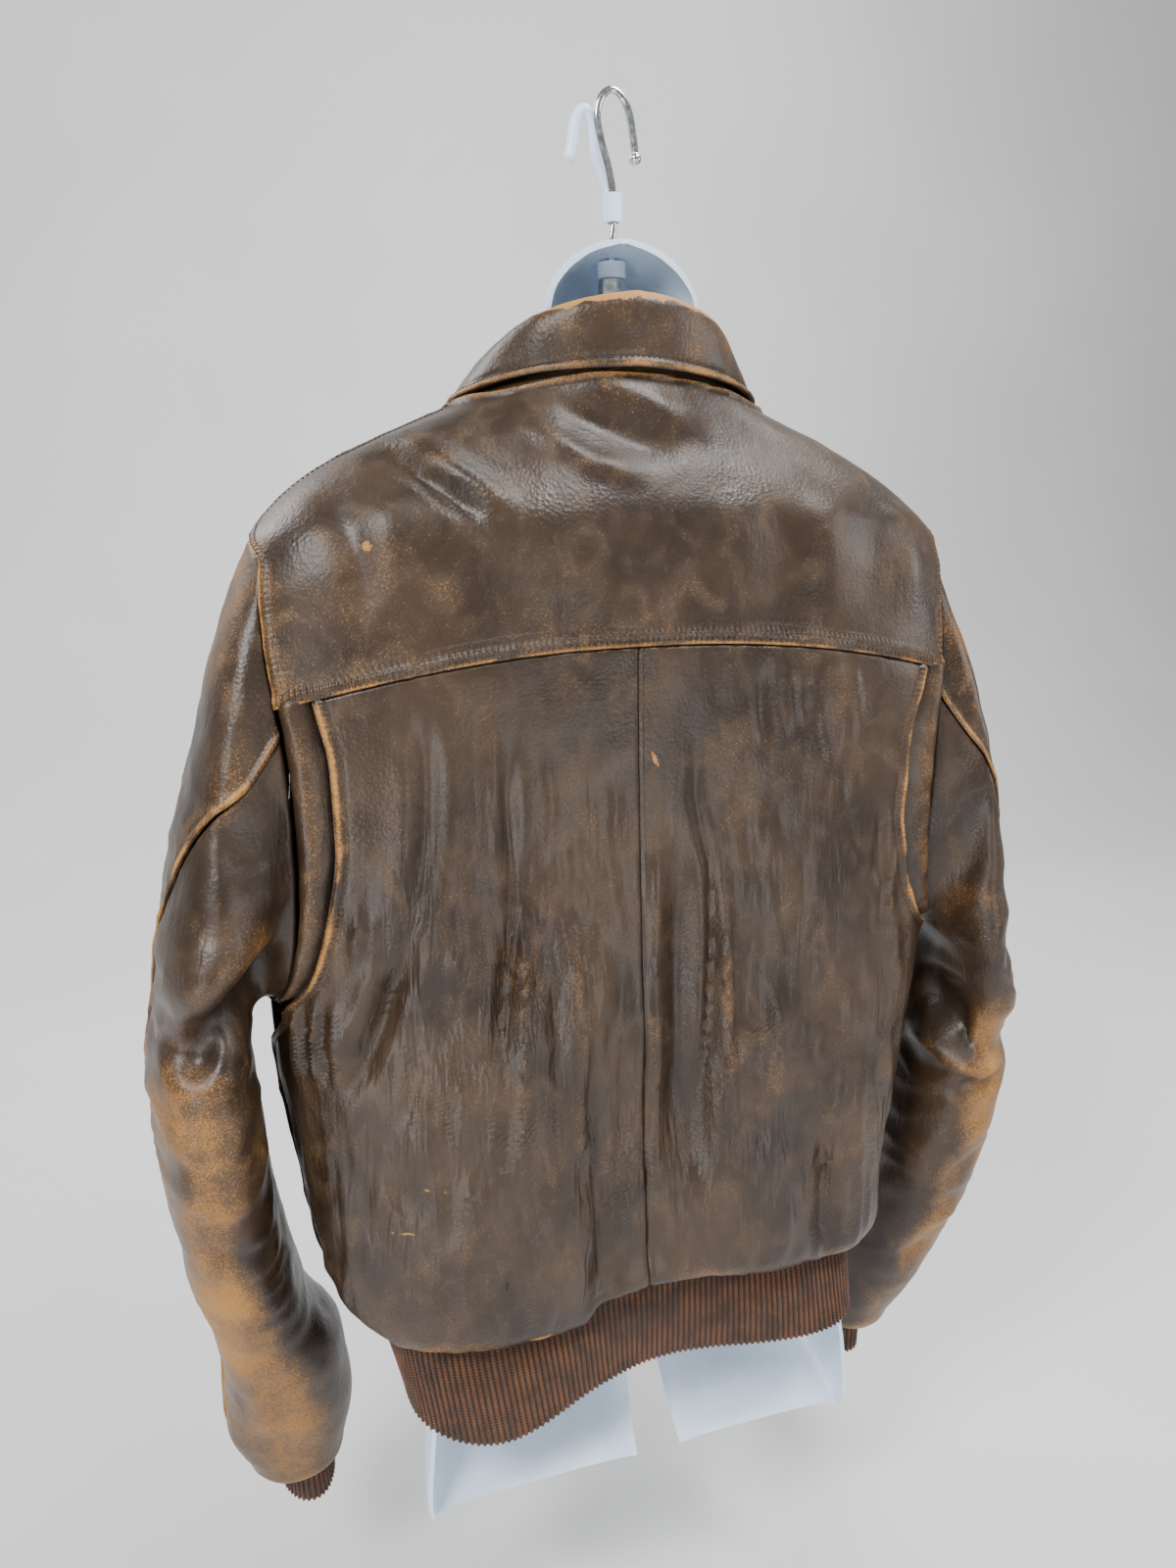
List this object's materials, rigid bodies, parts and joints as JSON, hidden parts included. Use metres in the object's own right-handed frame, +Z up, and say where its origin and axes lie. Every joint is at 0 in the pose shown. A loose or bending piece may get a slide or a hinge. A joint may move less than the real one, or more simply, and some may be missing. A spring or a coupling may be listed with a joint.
{
  "type": "leather jacket on a hanging torso form",
  "caption": "Zip-fronted leather blouson with folding collar, back yoke, pleated shoulders and knitted waistband and cuffs, worn by a hollow-backed hanging torso form.",
  "frame": {"origin": "inside the top of the steel hook's bend, where it hangs on its rail", "axes": "+X to the wearer's left, -Y out of the jacket's front, +Z up"},
  "size_m": [0.6358, 0.2474, 0.9785],
  "materials": {
    "leather": "worn semi-gloss, rubbed to tan at edges, elbows and seams",
    "knit": "ribbed wool knit, matt",
    "zip_tape": "woven tape, matt",
    "zip_metal": "aged satin",
    "form_plastic": "moulded semi-gloss, cool white",
    "hook_steel": "polished"
  },
  "bodies": {
    "jacket": {"yoke": "leather", "back_left": "leather", "back_right": "leather", "pleat_left": "leather", "pleat_right": "leather", "front_left": "leather", "front_right": "leather", "sleeve_top_left": "leather", "sleeve_top_right": "leather", "sleeve_under_left": "leather", "sleeve_under_right": "leather", "collar": "leather", "cuff_left": "knit", "cuff_right": "knit", "waistband": "knit", "zip_tape_left": "zip_tape", "zip_tape_right": "zip_tape", "zip_slider": "zip_metal", "form_shell": "form_plastic", "hook_nut": "hook_steel", "hook_steel": "hook_steel", "hook_white": "form_plastic"},
    "pull_tab": {"zip_pull_tab": "zip_metal"}
  },
  "joints": [
    {"name": "pull_tab_hinge", "type": "hinge", "parent": "jacket", "child": "pull_tab", "pos_m": [0.009, -0.06242, -0.26552], "axis": [-1, 0, 0], "range_deg": [0, 150]}
  ]
}
